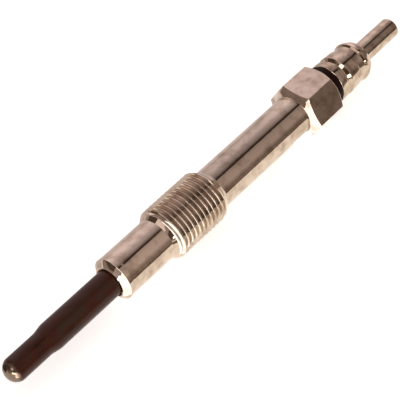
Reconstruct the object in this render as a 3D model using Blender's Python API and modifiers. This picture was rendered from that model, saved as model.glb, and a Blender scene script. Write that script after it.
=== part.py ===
"""Diesel glow plug with a metal glow tube, an M10 x 1 thread, a 10 mm hexagon and a 4 mm push-on pin.

It lies on a level surface, on one flat of its hexagon and on the crest of its thread.
The axis runs along X, from the glow tube at -X to the pin at +X. Sizes are in metres.
"""

import math

import bmesh
import bpy

MM = 0.001

# Fits
FIT_GAP = 0.05 * MM  # radial clearance between two pieces pressed, crimped or bedded together
FACE_GAP = 0.05 * MM  # clearance between two end faces that bear on each other

# Glow tube
TUBE_RADIUS = 2.53 * MM
TUBE_NARROW_RADIUS = 2.20 * MM
TUBE_WALL = 0.55 * MM
TUBE_TIP_THICKNESS = 1.30 * MM
TUBE_TIP_ROUNDING = 2.02 * MM
TUBE_RIM_ROUNDING = 0.14 * MM
TUBE_NARROW_LENGTH = 8.10 * MM
TUBE_SWAGE_LENGTH = 1.80 * MM
TUBE_EXPOSED_LENGTH = 23.85 * MM  # tip to the mouth of the body
TUBE_SEAT_LENGTH = 9.00 * MM  # pressed into the body

# Threaded body, from its mouth to the rear face of its hexagon
MOUTH_RELIEF = 0.20 * MM  # radial room round the glow tube, just inside the mouth
MOUTH_RELIEF_DEPTH = 0.90 * MM
MOUTH_RIM = 0.22 * MM
MOUTH_ROUNDING = 0.06 * MM
SEAT_CONE_LENGTH = 0.90 * MM
SEAT_LAND_RISE = 0.08 * MM  # the nose flares a little behind its seat cone
SEAT_LAND_LENGTH = 1.30 * MM
NOSE_CLEARANCE = 0.45 * MM  # the nose lies this far below the thread's root, so that it passes the tapped hole
NOSE_LENGTH = 10.80 * MM
LEAD_IN_LENGTH = 1.50 * MM
THREAD_RADIUS = 5.00 * MM
THREAD_LENGTH = 10.80 * MM
THREAD_PITCH = 1.00 * MM
THREAD_DEPTH = 0.56 * MM
THREAD_CREST = 0.20 * MM  # flat part of the crest, along the axis
THREAD_ROOT = 0.15 * MM
THREAD_END_DROP = 0.10 * MM  # the thread's sleeve ends where its cones are this far below its root
RUN_OUT_LENGTH = 1.75 * MM
SHANK_CLEARANCE = 0.56 * MM  # and the shank this far below it
SHANK_LENGTH = 23.40 * MM
SHANK_FILLET = 0.20 * MM
HEX_ACROSS_FLATS = 10.00 * MM
HEX_LENGTH = 8.20 * MM
HEX_SHOULDER_ANGLE = math.radians(22.0)  # front shoulder, off the plane square to the axis
HEX_CHAMFER_ANGLE = math.radians(55.0)  # rear chamfer, off the axis
HEX_REAR_RADIUS = 4.35 * MM
BODY_BORE_RADIUS = 2.30 * MM
COUNTERBORE_RADIUS = 3.20 * MM
COUNTERBORE_DEPTH = 5.20 * MM
BORE_CHAMFER = 0.15 * MM

# Coils, on one centreline from the tip weld to the stud
FILAMENT_LEAD = 0.50 * MM
HEATING_COIL_RADIUS = 0.98 * MM
HEATING_WIRE_RADIUS = 0.18 * MM
HEATING_COIL_PITCH = 0.80 * MM
HEATING_COIL_TURNS = 7
CONTROL_COIL_RADIUS = 1.10 * MM
CONTROL_WIRE_RADIUS = 0.15 * MM
CONTROL_COIL_PITCH = 0.95 * MM
CONTROL_COIL_TURNS = 7
BOUND_TURNS = 3  # laid close on the stud's spigot
POINTS_PER_TURN = 10

# Terminal stud and the seal of the glow tube
STUD_RADIUS = 1.75 * MM
STUD_NECK_RADIUS = 1.15 * MM
STUD_NECK_REACH = 1.20 * MM  # how far the neck stands out behind the glow tube
STUD_CONE_LENGTH = 0.80 * MM
STUD_END_CHAMFER = 0.25 * MM
SPIGOT_ROUNDING = 0.30 * MM
SPIGOT_TIP = 0.30 * MM  # the spigot stands out in front of the bound turns
TUBE_SEAL_LENGTH = 3.20 * MM
TUBE_SEAL_ROUNDING = 0.20 * MM

# Insulating washer and the double seal under its collar
INSULATOR_RADIUS = 4.12 * MM
INSULATOR_THICKNESS = 1.60 * MM
INSULATOR_ROUNDING = 0.35 * MM
COLLAR_LENGTH = 1.40 * MM
COLLAR_CHAMFER = 0.20 * MM
SEAL_BEAD_HEIGHT = 0.30 * MM
SEAL_BEAD_ROUNDING = 0.30 * MM
SEAL_WAIST_SHARE = 0.24  # part of the seal's length that its waist takes

# Terminal cap: a round nut and a pin, turned in one piece
CAP_RADIUS = 4.05 * MM
CAP_FRONT_LENGTH = 1.65 * MM
CAP_EDGE_ROUNDING = 0.22 * MM
CRIMP_DEPTH = 0.60 * MM
CRIMP_LENGTH = 1.30 * MM
CRIMP_FRONT_FLANK = 0.20 * MM
CRIMP_REAR_FLANK = 0.60 * MM
CRIMP_ROUNDING = 0.25 * MM
CAP_DRUM_LENGTH = 2.50 * MM
CAP_DRUM_TAPER = 0.14 * MM
CAP_WAIST_SLOPE = 0.35 * MM
CAP_WAIST_LENGTH = 1.48 * MM
CAP_WAIST_DEPTH = 0.37 * MM
CAP_WAIST_ROUNDING = 0.15 * MM
CAP_STEP_LENGTH = 0.36 * MM
CAP_RIM_LENGTH = 0.56 * MM
CAP_RIM_DROP = 0.03 * MM
CAP_RIM_TAPER = 0.08 * MM
CAP_RIM_ROUNDING = 0.15 * MM
CAP_REAR_LENGTH = 1.20 * MM
CAP_REAR_DROP = 0.54 * MM  # the rear end of the rim is rolled in
CAP_BORE_DEPTH = 7.40 * MM
PIN_RADIUS = 2.00 * MM
PIN_LENGTH = 10.85 * MM
PIN_ROUNDING = 0.48 * MM

# Fineness of the meshes
OUTER_FACETS = 32
INNER_FACETS = 18
THREAD_FACETS = 24
WIRE_RESOLUTION = 1  # of Blender's curve bevel: a wire with six sides
ROUNDING_STEPS = 2
TIP_STEPS = 5
SWAGE_STEPS = 4
SMOOTH_ANGLE = math.radians(28.0)
MERGE_DISTANCE = 0.001 * MM
CUTTER_MARGIN = 1.00 * MM

# Radii that follow the thread
ROOT_RADIUS = THREAD_RADIUS - THREAD_DEPTH
NOSE_RADIUS = ROOT_RADIUS - NOSE_CLEARANCE
SHANK_RADIUS = ROOT_RADIUS - SHANK_CLEARANCE

# Stations along the axis, measured from the tip of the glow tube
TUBE_REAR = TUBE_EXPOSED_LENGTH + TUBE_SEAT_LENGTH
BODY_FRONT = TUBE_EXPOSED_LENGTH
NOSE_FRONT = BODY_FRONT + SEAT_CONE_LENGTH
LEAD_IN_FRONT = NOSE_FRONT + NOSE_LENGTH
THREAD_FRONT = LEAD_IN_FRONT + LEAD_IN_LENGTH
THREAD_REAR = THREAD_FRONT + THREAD_LENGTH
SHANK_FRONT = THREAD_REAR + RUN_OUT_LENGTH
HEX_FRONT = SHANK_FRONT + SHANK_LENGTH
HEX_REAR = HEX_FRONT + HEX_LENGTH
INSULATOR_FRONT = HEX_REAR + FACE_GAP
CAP_FRONT = INSULATOR_FRONT + INSULATOR_THICKNESS + FACE_GAP
CAP_LENGTH = (
    CAP_FRONT_LENGTH
    + CRIMP_LENGTH
    + CAP_DRUM_LENGTH
    + CAP_WAIST_SLOPE
    + CAP_WAIST_LENGTH
    + CAP_STEP_LENGTH
    + CAP_RIM_LENGTH
    + CAP_REAR_LENGTH
)
TOTAL_LENGTH = CAP_FRONT + CAP_LENGTH + PIN_LENGTH
AXIS_HEIGHT = max(THREAD_RADIUS, HEX_ACROSS_FLATS / 2)

# Stations of the coils and of what holds their rear end
TUBE_BORE_END = TUBE_TIP_THICKNESS
FILAMENT_FRONT = TUBE_BORE_END + FACE_GAP
HEATING_FRONT = FILAMENT_FRONT + FILAMENT_LEAD
HEATING_REAR = HEATING_FRONT + HEATING_COIL_TURNS * HEATING_COIL_PITCH
CONTROL_REAR = HEATING_REAR + CONTROL_COIL_TURNS * CONTROL_COIL_PITCH
BOUND_PITCH = 2 * CONTROL_WIRE_RADIUS + FIT_GAP
BOUND_REAR = CONTROL_REAR + BOUND_TURNS * BOUND_PITCH
CHANNEL_RADIUS = max(HEATING_WIRE_RADIUS, CONTROL_WIRE_RADIUS) + FIT_GAP
SPIGOT_FRONT = CONTROL_REAR - CONTROL_WIRE_RADIUS - SPIGOT_TIP
SPIGOT_REAR = BOUND_REAR + CONTROL_WIRE_RADIUS + FIT_GAP
SPIGOT_RADIUS = CONTROL_COIL_RADIUS - CONTROL_WIRE_RADIUS - FIT_GAP

FINISHES = {
    "plated_steel": ((0.66, 0.60, 0.56), 0.22, 1.0),
    "plated_cap_steel": ((0.64, 0.58, 0.53), 0.26, 1.0),
    "oxidised_alloy": ((0.060, 0.032, 0.026), 0.38, 0.8),
    "black_insulator": ((0.012, 0.011, 0.011), 0.45, 0.0),
    "heating_wire": ((0.32, 0.30, 0.29), 0.45, 1.0),
    "control_wire": ((0.46, 0.44, 0.42), 0.40, 1.0),
    "magnesia": ((0.80, 0.79, 0.74), 0.95, 0.0),
    "brown_rubber": ((0.16, 0.05, 0.025), 0.60, 0.0),
    "green_rubber": ((0.03, 0.09, 0.05), 0.60, 0.0),
    "bare_steel": ((0.40, 0.39, 0.38), 0.35, 1.0),
}


def clear_scene():
    """Empties the scene, so that the script starts from nothing."""
    for obj in list(bpy.data.objects):
        bpy.data.objects.remove(obj, do_unlink=True)


def new_collection(name, hidden=False):
    """A collection under the scene's own, with hidden set for helpers."""
    collection = bpy.data.collections.new(name)
    collection.hide_render = hidden
    bpy.context.scene.collection.children.link(collection)
    return collection


def finish(name):
    """The material of one finish: colour, roughness and metallic value."""
    material = bpy.data.materials.get(name)
    if material is not None:
        return material
    colour, roughness, metallic = FINISHES[name]
    material = bpy.data.materials.new(name)
    material.use_nodes = True
    shader = material.node_tree.nodes["Principled BSDF"]
    shader.inputs["Base Color"].default_value = (*colour, 1.0)
    shader.inputs["Roughness"].default_value = roughness
    shader.inputs["Metallic"].default_value = metallic
    material.diffuse_color = (*colour, 1.0)
    return material


def rounded(corners, closed):
    """Points of a profile given as (radius, height, rounding), with each rounding drawn as an arc."""
    points = []
    for index, (radius, height, rounding) in enumerate(corners):
        at_end = not closed and index in (0, len(corners) - 1)
        if rounding == 0 or at_end:
            points.append((radius, height))
            continue
        before = corners[index - 1]
        after = corners[(index + 1) % len(corners)]
        to_before = (before[0] - radius, before[1] - height)
        to_after = (after[0] - radius, after[1] - height)
        length_before = math.hypot(*to_before)
        length_after = math.hypot(*to_after)
        unit_before = (to_before[0] / length_before, to_before[1] / length_before)
        unit_after = (to_after[0] / length_after, to_after[1] / length_after)
        cosine = unit_before[0] * unit_after[0] + unit_before[1] * unit_after[1]
        half_angle = math.acos(max(-1.0, min(1.0, cosine))) / 2
        # An arc never takes more than half of either side, so that two of them can meet but not cross.
        reach = min(rounding / math.tan(half_angle), 0.49 * length_before, 0.49 * length_after)
        arc_radius = reach * math.tan(half_angle)
        bisector = (unit_before[0] + unit_after[0], unit_before[1] + unit_after[1])
        bisector_length = math.hypot(*bisector)
        to_centre = arc_radius / math.sin(half_angle) / bisector_length
        centre = (radius + bisector[0] * to_centre, height + bisector[1] * to_centre)
        first = (radius + unit_before[0] * reach, height + unit_before[1] * reach)
        last = (radius + unit_after[0] * reach, height + unit_after[1] * reach)
        start = math.atan2(first[1] - centre[1], first[0] - centre[0])
        sweep = math.atan2(last[1] - centre[1], last[0] - centre[0]) - start
        sweep = (sweep + math.pi) % (2 * math.pi) - math.pi
        for step in range(ROUNDING_STEPS + 1):
            angle = start + sweep * step / ROUNDING_STEPS
            across = arc_radius * math.cos(angle)
            along = arc_radius * math.sin(angle)
            points.append((centre[0] + across, centre[1] + along))
    return points


def sharp(radius, height):
    """A profile corner with no rounding."""
    return (radius, height, 0.0)


def turned(name, corners, closed, facets, collection):
    """A turned piece: its profile runs down the outer side, and a Screw modifier turns it once round."""
    points = rounded(corners, closed)
    mesh = bpy.data.meshes.new(name)
    edges = [(index, index + 1) for index in range(len(points) - 1)]
    if closed:
        edges.append((len(points) - 1, 0))
    mesh.from_pydata([(radius, 0.0, height) for radius, height in points], edges, [])
    obj = bpy.data.objects.new(name, mesh)
    collection.objects.link(obj)
    screw = obj.modifiers.new("turn", "SCREW")
    screw.axis = "Z"
    screw.steps = facets
    screw.render_steps = facets
    screw.use_merge_vertices = True
    screw.merge_threshold = MERGE_DISTANCE
    return obj


def wire(name, points, radius, collection):
    """A round wire along a list of points, as a mesh with its end caps welded on."""
    curve = bpy.data.curves.new(name, "CURVE")
    curve.dimensions = "3D"
    curve.bevel_depth = radius
    curve.bevel_resolution = WIRE_RESOLUTION
    curve.use_fill_caps = True
    spline = curve.splines.new("POLY")
    spline.points.add(len(points) - 1)
    for point, place in zip(spline.points, points):
        point.co = (*place, 1.0)
    guide = bpy.data.objects.new(name + "_guide", curve)
    collection.objects.link(guide)
    mesh = evaluated_mesh(guide)
    mesh.name = name
    shape = bmesh.new()
    shape.from_mesh(mesh)
    bmesh.ops.remove_doubles(shape, verts=shape.verts, dist=MERGE_DISTANCE)
    bmesh.ops.recalc_face_normals(shape, faces=shape.faces)
    shape.to_mesh(mesh)
    shape.free()
    obj = bpy.data.objects.new(name, mesh)
    obj.matrix_world = guide.matrix_world
    collection.objects.link(obj)
    bpy.data.objects.remove(guide, do_unlink=True)
    return obj


def evaluated_mesh(obj):
    """A new mesh that holds what the object looks like with its modifiers."""
    bpy.context.view_layer.update()
    graph = bpy.context.evaluated_depsgraph_get()
    return bpy.data.meshes.new_from_object(obj.evaluated_get(graph))


def as_cutter(obj):
    """Marks an object as a helper that is drawn as wires and left out of a render."""
    obj.hide_render = True
    obj.display_type = "WIRE"
    return obj


def cut(obj, cutter):
    """Takes the cutter's shape out of the object."""
    boolean = obj.modifiers.new("cut_by_" + cutter.name, "BOOLEAN")
    boolean.operation = "DIFFERENCE"
    boolean.object = cutter


def complete(obj, finish_name, frame):
    """Fixes the mesh, shades it smooth with sharp edges, gives it its finish and hangs it on the frame."""
    mesh = evaluated_mesh(obj)
    mesh.name = obj.name
    obj.modifiers.clear()
    obj.data = mesh
    mesh.shade_smooth()
    mesh.set_sharp_from_angle(angle=SMOOTH_ANGLE)
    mesh.materials.clear()
    mesh.materials.append(finish(finish_name))
    obj.parent = frame
    return obj


def swage(rear_radius, front_radius, shift=0.0):
    """Corners of the S-shaped neck where the glow tube is drawn down, from its rear to its front."""
    corners = []
    for step in range(SWAGE_STEPS + 1):
        share = step / SWAGE_STEPS
        blend = share * share * (3 - 2 * share)
        radius = rear_radius + (front_radius - rear_radius) * blend
        corners.append(sharp(radius, TUBE_NARROW_LENGTH + shift + TUBE_SWAGE_LENGTH * (1 - share)))
    return corners


def dome(radius, front, rounding):
    """Corners of a closed, blunt round end, from its side to the axis."""
    depth = min(rounding, radius)
    flat = radius - depth
    corners = []
    for step in range(TIP_STEPS + 1):
        angle = math.pi / 2 * step / TIP_STEPS
        corners.append(sharp(flat + depth * math.cos(angle), front + depth * (1 - math.sin(angle))))
    if flat > MERGE_DISTANCE:
        corners.append(sharp(0.0, front))
    return corners


def make_glow_tube(collection):
    """The glow tube: drawn down in front, closed and rounded at the tip, open at the rear."""
    inner_narrow = TUBE_NARROW_RADIUS - TUBE_WALL
    inner_wide = TUBE_RADIUS - TUBE_WALL
    bore = dome(inner_narrow, TUBE_BORE_END, inner_narrow)[::-1] + swage(inner_wide, inner_narrow)[::-1]
    outside = swage(TUBE_RADIUS, TUBE_NARROW_RADIUS) + dome(TUBE_NARROW_RADIUS, 0.0, TUBE_TIP_ROUNDING)
    rear = [sharp(inner_wide, TUBE_REAR), (TUBE_RADIUS, TUBE_REAR, TUBE_RIM_ROUNDING)]
    return turned("glow_tube", bore + rear + outside, False, OUTER_FACETS, collection)


def thread_limit(station):
    """Radius of the lead-in cone, of the thread's crest or of the run-out cone at a station."""
    if station < THREAD_FRONT:
        share = (station - LEAD_IN_FRONT) / LEAD_IN_LENGTH
        return NOSE_RADIUS + (THREAD_RADIUS - NOSE_RADIUS) * share
    if station > THREAD_REAR:
        share = (station - THREAD_REAR) / RUN_OUT_LENGTH
        return THREAD_RADIUS + (SHANK_RADIUS - THREAD_RADIUS) * share
    return THREAD_RADIUS


def thread_ends():
    """Stations at which the thread's sleeve ends, on its lead-in cone and on its run-out cone."""
    end_radius = ROOT_RADIUS - THREAD_END_DROP
    front = LEAD_IN_FRONT + LEAD_IN_LENGTH * (end_radius - NOSE_RADIUS) / (THREAD_RADIUS - NOSE_RADIUS)
    rear = THREAD_REAR + RUN_OUT_LENGTH * (THREAD_RADIUS - end_radius) / (THREAD_RADIUS - SHANK_RADIUS)
    return front, rear


def thread_sleeve():
    """The right-handed thread as an open sleeve, trimmed to its cones and cut square at both ends."""
    front, rear = thread_ends()
    flank = (THREAD_PITCH - THREAD_CREST - THREAD_ROOT) / 2
    turns_before = math.ceil((THREAD_FRONT - front) / THREAD_PITCH) + 2
    turns = turns_before + math.ceil((rear - THREAD_FRONT) / THREAD_PITCH) + 1
    start = THREAD_FRONT + THREAD_ROOT / 2 - turns_before * THREAD_PITCH
    sleeve = bmesh.new()
    for turn in range(turns):
        foot = start + turn * THREAD_PITCH
        profile = (
            (ROOT_RADIUS, foot),
            (THREAD_RADIUS, foot + flank),
            (THREAD_RADIUS, foot + flank + THREAD_CREST),
            (ROOT_RADIUS, foot + 2 * flank + THREAD_CREST),
            (ROOT_RADIUS, foot + THREAD_PITCH),
        )
        verts = [sleeve.verts.new((radius, 0.0, height)) for radius, height in profile]
        for first, second in zip(verts, verts[1:]):
            sleeve.edges.new((first, second))
    bmesh.ops.spin(
        sleeve,
        geom=sleeve.verts[:] + sleeve.edges[:],
        cent=(0.0, 0.0, 0.0),
        axis=(0.0, 0.0, 1.0),
        dvec=(0.0, 0.0, THREAD_PITCH / THREAD_FACETS),
        angle=2 * math.pi,
        steps=THREAD_FACETS,
        use_merge=False,
    )
    bmesh.ops.remove_doubles(sleeve, verts=sleeve.verts, dist=MERGE_DISTANCE)
    for vert in sleeve.verts:
        radius = math.hypot(vert.co.x, vert.co.y)
        scale = min(1.0, thread_limit(vert.co.z) / radius)
        vert.co.x *= scale
        vert.co.y *= scale
    for station, direction in ((front, -1.0), (rear, 1.0)):
        bmesh.ops.bisect_plane(
            sleeve,
            geom=sleeve.verts[:] + sleeve.edges[:] + sleeve.faces[:],
            dist=MERGE_DISTANCE,
            plane_co=(0.0, 0.0, station),
            plane_no=(0.0, 0.0, direction),
            clear_outer=True,
        )
    return sleeve


def add_thread(body):
    """Welds the thread's sleeve into the gap that the body's profile leaves between its two end cones."""
    blank = evaluated_mesh(body)
    body.modifiers.clear()
    sleeve = thread_sleeve()
    sleeve_mesh = bpy.data.meshes.new("thread_sleeve")
    sleeve.to_mesh(sleeve_mesh)
    sleeve.free()
    shape = bmesh.new()
    shape.from_mesh(blank)
    shape.from_mesh(sleeve_mesh)
    bmesh.ops.remove_doubles(shape, verts=shape.verts, dist=MERGE_DISTANCE)
    middle = (THREAD_FRONT + THREAD_REAR) / 2
    open_edges = [edge for edge in shape.edges if edge.is_boundary]
    for side in (-1.0, 1.0):
        facing = [edge for edge in open_edges if side * (edge.verts[0].co.z - middle) > 0.0]
        bmesh.ops.bridge_loops(shape, edges=facing)
    bmesh.ops.recalc_face_normals(shape, faces=shape.faces)
    shape.to_mesh(blank)
    shape.free()
    body.data = blank
    bpy.data.meshes.remove(sleeve_mesh)


def make_threaded_body(collection, cutters):
    """The body: turned and threaded outside, bored through, with a hexagon milled out of its collar."""
    seat_bore = TUBE_RADIUS + FIT_GAP
    seat_rear = TUBE_REAR + FACE_GAP
    relief = seat_bore + MOUTH_RELIEF
    corner_radius = HEX_ACROSS_FLATS / math.sqrt(3)
    shoulder_rise = corner_radius - SHANK_RADIUS
    chamfer_length = (corner_radius - HEX_REAR_RADIUS) / math.tan(HEX_CHAMFER_ANGLE)
    sleeve_front, sleeve_rear = thread_ends()
    cone_front = (LEAD_IN_FRONT + sleeve_front) / 2
    cone_rear = (sleeve_rear + SHANK_FRONT) / 2
    corners = [
        sharp(thread_limit(cone_front), cone_front),
        (NOSE_RADIUS, LEAD_IN_FRONT, SHANK_FILLET),
        sharp(NOSE_RADIUS, NOSE_FRONT + SEAT_LAND_LENGTH),
        (NOSE_RADIUS + SEAT_LAND_RISE, NOSE_FRONT, SHANK_FILLET),
        (relief + MOUTH_RIM, BODY_FRONT, MOUTH_ROUNDING),
        (relief, BODY_FRONT, MOUTH_ROUNDING),
        sharp(relief, BODY_FRONT + MOUTH_RELIEF_DEPTH),
        sharp(seat_bore, BODY_FRONT + MOUTH_RELIEF_DEPTH),
        sharp(seat_bore, seat_rear),
        sharp(BODY_BORE_RADIUS, seat_rear),
        sharp(BODY_BORE_RADIUS, HEX_REAR - COUNTERBORE_DEPTH),
        sharp(COUNTERBORE_RADIUS, HEX_REAR - COUNTERBORE_DEPTH),
        sharp(COUNTERBORE_RADIUS, HEX_REAR - BORE_CHAMFER),
        sharp(COUNTERBORE_RADIUS + BORE_CHAMFER, HEX_REAR),
        sharp(HEX_REAR_RADIUS, HEX_REAR),
        sharp(corner_radius, HEX_REAR - chamfer_length),
        sharp(corner_radius, HEX_FRONT + shoulder_rise * math.tan(HEX_SHOULDER_ANGLE)),
        (SHANK_RADIUS, HEX_FRONT, SHANK_FILLET),
        (SHANK_RADIUS, SHANK_FRONT, SHANK_FILLET),
        sharp(thread_limit(cone_rear), cone_rear),
    ]
    body = turned("threaded_body", corners, False, OUTER_FACETS, collection)
    add_thread(body)
    cut(body, make_hex_cutter(cutters))
    return body


def make_hex_cutter(collection):
    """A six-sided ring that leaves the hexagon standing inside it, its flats square to local X."""
    shape = bmesh.new()
    corner_radius = HEX_ACROSS_FLATS / math.sqrt(3)
    bmesh.ops.create_cone(
        shape,
        cap_ends=False,
        segments=6,
        radius1=corner_radius,
        radius2=corner_radius,
        depth=HEX_LENGTH + CUTTER_MARGIN,
    )
    mesh = bpy.data.meshes.new("hex_cutter")
    shape.to_mesh(mesh)
    shape.free()
    cutter = bpy.data.objects.new("hex_cutter", mesh)
    cutter.location.z = (HEX_FRONT + HEX_REAR) / 2
    collection.objects.link(cutter)
    wall = cutter.modifiers.new("wall", "SOLIDIFY")
    wall.thickness = 2 * CUTTER_MARGIN
    wall.offset = 1.0
    wall.use_even_offset = True
    return as_cutter(cutter)


def filament_radius(turn):
    """Radius of the coils' centreline at a number of turns from the tip weld."""
    if turn <= 1:
        return HEATING_COIL_RADIUS * turn * turn * (3 - 2 * turn)
    share = min(max(turn - HEATING_COIL_TURNS, 0.0), 1.0)
    blend = share * share * (3 - 2 * share)
    return HEATING_COIL_RADIUS + (CONTROL_COIL_RADIUS - HEATING_COIL_RADIUS) * blend


def filament_height(turn):
    """Station of the coils' centreline at a number of turns from the tip weld."""
    control_turn = turn - HEATING_COIL_TURNS
    bound_turn = control_turn - CONTROL_COIL_TURNS
    if bound_turn > 0:
        return CONTROL_REAR + bound_turn * BOUND_PITCH
    if control_turn > 0:
        return HEATING_REAR + control_turn * CONTROL_COIL_PITCH
    return HEATING_FRONT + turn * HEATING_COIL_PITCH


def filament_points(first_turn, last_turn):
    """Points of the coils' centreline between two numbers of turns."""
    steps = max(2, round((last_turn - first_turn) * POINTS_PER_TURN))
    points = []
    for step in range(steps + 1):
        turn = first_turn + (last_turn - first_turn) * step / steps
        angle = 2 * math.pi * turn
        radius = filament_radius(turn)
        points.append((radius * math.cos(angle), radius * math.sin(angle), filament_height(turn)))
    return points


def weld_half_gap():
    """Half of the gap at the weld between the coils, in turns."""
    return FACE_GAP / 2 / (2 * math.pi * HEATING_COIL_RADIUS)


def make_heating_coil(collection):
    """The heating coil: a straight lead out of the tip weld, then its turns."""
    lead = [(0.0, 0.0, FILAMENT_FRONT)]
    turns = filament_points(0.0, HEATING_COIL_TURNS - weld_half_gap())
    return wire("heating_coil", lead + turns, HEATING_WIRE_RADIUS, collection)


def make_control_coil(collection):
    """The control coil: open turns behind the heating coil, then close turns on the stud's spigot."""
    last = HEATING_COIL_TURNS + CONTROL_COIL_TURNS + BOUND_TURNS
    turns = filament_points(HEATING_COIL_TURNS + weld_half_gap(), last)
    return wire("control_coil", turns, CONTROL_WIRE_RADIUS, collection)


def make_magnesia_filling(collection, cutters):
    """The pressed powder: it fills the tube, and both coils run through it in one winding channel."""
    narrow = TUBE_NARROW_RADIUS - TUBE_WALL - FIT_GAP
    wide = TUBE_RADIUS - TUBE_WALL - FIT_GAP
    pocket = CONTROL_COIL_RADIUS + CONTROL_WIRE_RADIUS + FIT_GAP
    pocket_front = SPIGOT_FRONT - FACE_GAP
    neck = STUD_NECK_RADIUS + FIT_GAP
    neck_front = SPIGOT_REAR - FACE_GAP
    rear = TUBE_REAR - TUBE_SEAL_LENGTH - FACE_GAP
    corners = [
        sharp(0.0, pocket_front),
        sharp(pocket, pocket_front),
        sharp(pocket, neck_front),
        sharp(neck, neck_front),
        sharp(neck, rear),
        sharp(wide, rear),
    ]
    corners += swage(wide, narrow)
    corners += dome(narrow, TUBE_BORE_END + FIT_GAP, narrow)
    filling = turned("magnesia_filling", corners, False, INNER_FACETS, collection)
    cut(filling, make_coil_channel(cutters))
    return filling


def make_coil_channel(collection):
    """The room that the coils take in the powder, open at the tip weld and into the spigot's pocket."""
    lead = [(0.0, 0.0, FILAMENT_FRONT - CUTTER_MARGIN)]
    turns = filament_points(0.0, HEATING_COIL_TURNS + CONTROL_COIL_TURNS)
    return as_cutter(wire("coil_channel", lead + turns, CHANNEL_RADIUS, collection))


def make_tube_seal(collection):
    """The ring between the stud's neck and the open end of the glow tube."""
    outer = TUBE_RADIUS - TUBE_WALL - FIT_GAP
    inner = STUD_NECK_RADIUS + FIT_GAP
    front = TUBE_REAR - TUBE_SEAL_LENGTH
    corners = [
        (outer, TUBE_REAR, TUBE_SEAL_ROUNDING),
        (outer, front, TUBE_SEAL_ROUNDING),
        (inner, front, TUBE_SEAL_ROUNDING),
        (inner, TUBE_REAR, TUBE_SEAL_ROUNDING),
    ]
    return turned("tube_seal", corners, True, INNER_FACETS, collection)


def make_terminal_stud(collection):
    """The stud: a spigot for the control coil, a neck in the glow tube, then the rod up into the cap."""
    rear = CAP_FRONT + CAP_BORE_DEPTH - FACE_GAP
    neck_rear = TUBE_REAR + STUD_NECK_REACH
    corners = [
        sharp(0.0, rear),
        sharp(STUD_RADIUS - STUD_END_CHAMFER, rear),
        sharp(STUD_RADIUS, rear - STUD_END_CHAMFER),
        sharp(STUD_RADIUS, neck_rear + STUD_CONE_LENGTH),
        sharp(STUD_NECK_RADIUS, neck_rear),
        sharp(STUD_NECK_RADIUS, SPIGOT_REAR),
        sharp(SPIGOT_RADIUS, SPIGOT_REAR),
        (SPIGOT_RADIUS, SPIGOT_FRONT, SPIGOT_ROUNDING),
        sharp(0.0, SPIGOT_FRONT),
    ]
    return turned("terminal_stud", corners, False, INNER_FACETS, collection)


def make_body_seal(collection):
    """The double seal in the counterbore: one ring with two beads that press on the body."""
    rear = HEX_REAR - COLLAR_LENGTH - FACE_GAP
    front = HEX_REAR - COUNTERBORE_DEPTH + FACE_GAP
    bead = COUNTERBORE_RADIUS - FIT_GAP
    waist = bead - SEAL_BEAD_HEIGHT
    inner = STUD_RADIUS + FIT_GAP
    middle = (rear + front) / 2
    half_waist = SEAL_WAIST_SHARE * (rear - front) / 2
    corners = [
        (bead, rear, SEAL_BEAD_ROUNDING),
        (bead, middle + half_waist, SEAL_BEAD_ROUNDING),
        (waist, middle, SEAL_BEAD_ROUNDING),
        (bead, middle - half_waist, SEAL_BEAD_ROUNDING),
        (bead, front, SEAL_BEAD_ROUNDING),
        sharp(inner, front),
        sharp(inner, rear),
    ]
    return turned("body_seal", corners, True, INNER_FACETS, collection)


def make_insulating_washer(collection):
    """The insulating washer: a flange between hexagon and cap, and a collar down in the counterbore."""
    inner = STUD_RADIUS + FIT_GAP
    collar = COUNTERBORE_RADIUS - FIT_GAP
    rear = INSULATOR_FRONT + INSULATOR_THICKNESS
    collar_front = HEX_REAR - COLLAR_LENGTH
    corners = [
        (INSULATOR_RADIUS, rear, INSULATOR_ROUNDING),
        (INSULATOR_RADIUS, INSULATOR_FRONT, INSULATOR_ROUNDING),
        sharp(collar, INSULATOR_FRONT),
        sharp(collar, collar_front + COLLAR_CHAMFER),
        sharp(collar - COLLAR_CHAMFER, collar_front),
        sharp(inner, collar_front),
        sharp(inner, rear),
    ]
    return turned("insulating_washer", corners, True, OUTER_FACETS, collection)


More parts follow.
